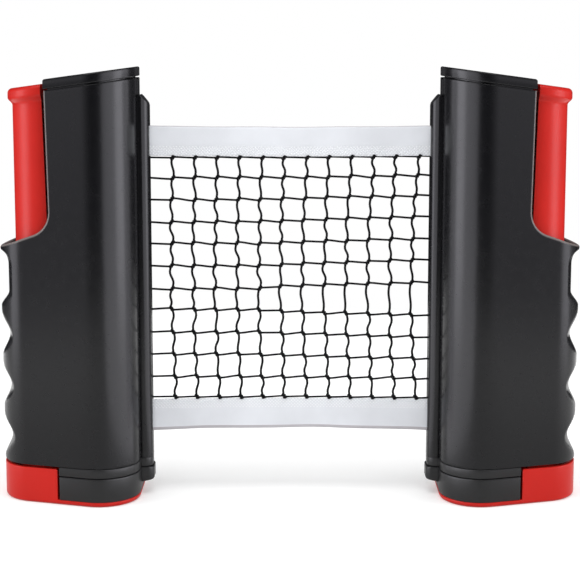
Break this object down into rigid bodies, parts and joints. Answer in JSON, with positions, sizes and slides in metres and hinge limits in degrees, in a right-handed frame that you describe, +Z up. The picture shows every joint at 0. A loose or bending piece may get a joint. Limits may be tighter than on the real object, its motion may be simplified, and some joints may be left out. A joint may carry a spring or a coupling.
{
  "type": "table tennis net clamp",
  "caption": "Retractable table tennis net: a pair of sprung clamp posts with thumb plungers and finger grips, and the net wound on a spool in each post.",
  "frame": {"origin": "middle of the surface that both feet stand on, halfway between the posts", "axes": "+X along the net from the left post to the right, -Y towards the front, +Z up"},
  "size_m": [0.2568, 0.05, 0.1916],
  "materials": {
    "black_plastic": "satin moulded ABS",
    "black_inner_plastic": "matt moulded plastic",
    "red_plastic": "satin moulded ABS",
    "jaw_rubber": "fine satin rubber",
    "grey_plastic": "moulded",
    "white_plastic": "moulded acetal",
    "spring_steel": "drawn wire and strip",
    "zinc_steel": "bright zinc",
    "net_cord": "knotted nylon cord",
    "net_tape": "woven polyester tape"
  },
  "bodies": {
    "left_post": {"left_front_shell": "black_plastic", "left_rear_shell": "black_plastic", "left_top_cap": "black_plastic", "left_upper_jaw_pad": "jaw_rubber", "left_clamp_spring": "spring_steel", "left_spring_guide": "zinc_steel", "left_spindle": "zinc_steel", "left_lower_bush": "white_plastic", "left_upper_bush": "white_plastic", "left_casing_screws": "zinc_steel", "net_mesh": "net_cord", "top_tape": "net_tape", "bottom_tape": "net_tape"},
    "left_slider": {"left_plunger": "red_plastic", "left_foot": "red_plastic", "left_lower_jaw_pad": "jaw_rubber", "left_foot_screws": "zinc_steel"},
    "left_spool": {"left_spool": "grey_plastic", "left_spring_drum": "black_inner_plastic", "left_drum_lid": "grey_plastic", "left_rewind_spring": "spring_steel", "left_net_rod": "white_plastic", "left_wound_net": "net_cord", "left_wound_tape": "net_tape"},
    "right_post": {"right_front_shell": "black_plastic", "right_rear_shell": "black_plastic", "right_top_cap": "black_plastic", "right_upper_jaw_pad": "jaw_rubber", "right_clamp_spring": "spring_steel", "right_spring_guide": "zinc_steel", "right_spindle": "zinc_steel", "right_lower_bush": "white_plastic", "right_upper_bush": "white_plastic", "right_casing_screws": "zinc_steel"},
    "right_slider": {"right_plunger": "red_plastic", "right_foot": "red_plastic", "right_lower_jaw_pad": "jaw_rubber", "right_foot_screws": "zinc_steel"},
    "right_spool": {"right_spool": "grey_plastic", "right_spring_drum": "black_inner_plastic", "right_drum_lid": "grey_plastic", "right_rewind_spring": "spring_steel", "right_net_rod": "white_plastic", "right_wound_net": "net_cord", "right_wound_tape": "net_tape"}
  },
  "joints": [
    {"name": "left_clamp", "type": "slide", "parent": "left_post", "child": "left_slider", "axis": [0, 0, -1], "range_m": [0, 0.05], "stiffness_N_per_m": 600, "springref_m": -0.03, "deforming": ["left_clamp_spring"]},
    {"name": "net_pull", "type": "slide", "parent": "left_post", "child": "right_post", "axis": [1, 0, 0], "range_m": [-0.122, 1.65], "deforming": ["net_mesh", "top_tape", "bottom_tape"]},
    {"name": "right_clamp", "type": "slide", "parent": "right_post", "child": "right_slider", "axis": [0, 0, -1], "range_m": [0, 0.05], "stiffness_N_per_m": 600, "springref_m": -0.03, "deforming": ["right_clamp_spring"]},
    {"name": "left_spool_turn", "type": "hinge", "parent": "left_post", "child": "left_spool", "pos_m": [-0.0846, 0, 0.097], "axis": [0, 0, 1], "range_deg": [-301, 4011], "deforming": ["left_rewind_spring"]},
    {"name": "right_spool_turn", "type": "hinge", "parent": "right_post", "child": "right_spool", "pos_m": [0.0846, 0, 0.097], "axis": [0, 0, 1], "range_deg": [-4011, 301], "deforming": ["right_rewind_spring"]}
  ],
  "couplings": [
    {"joint": "left_spool_turn", "follows": "net_pull", "rad_per_m": 42.373},
    {"joint": "right_spool_turn", "follows": "net_pull", "rad_per_m": -42.373}
  ]
}
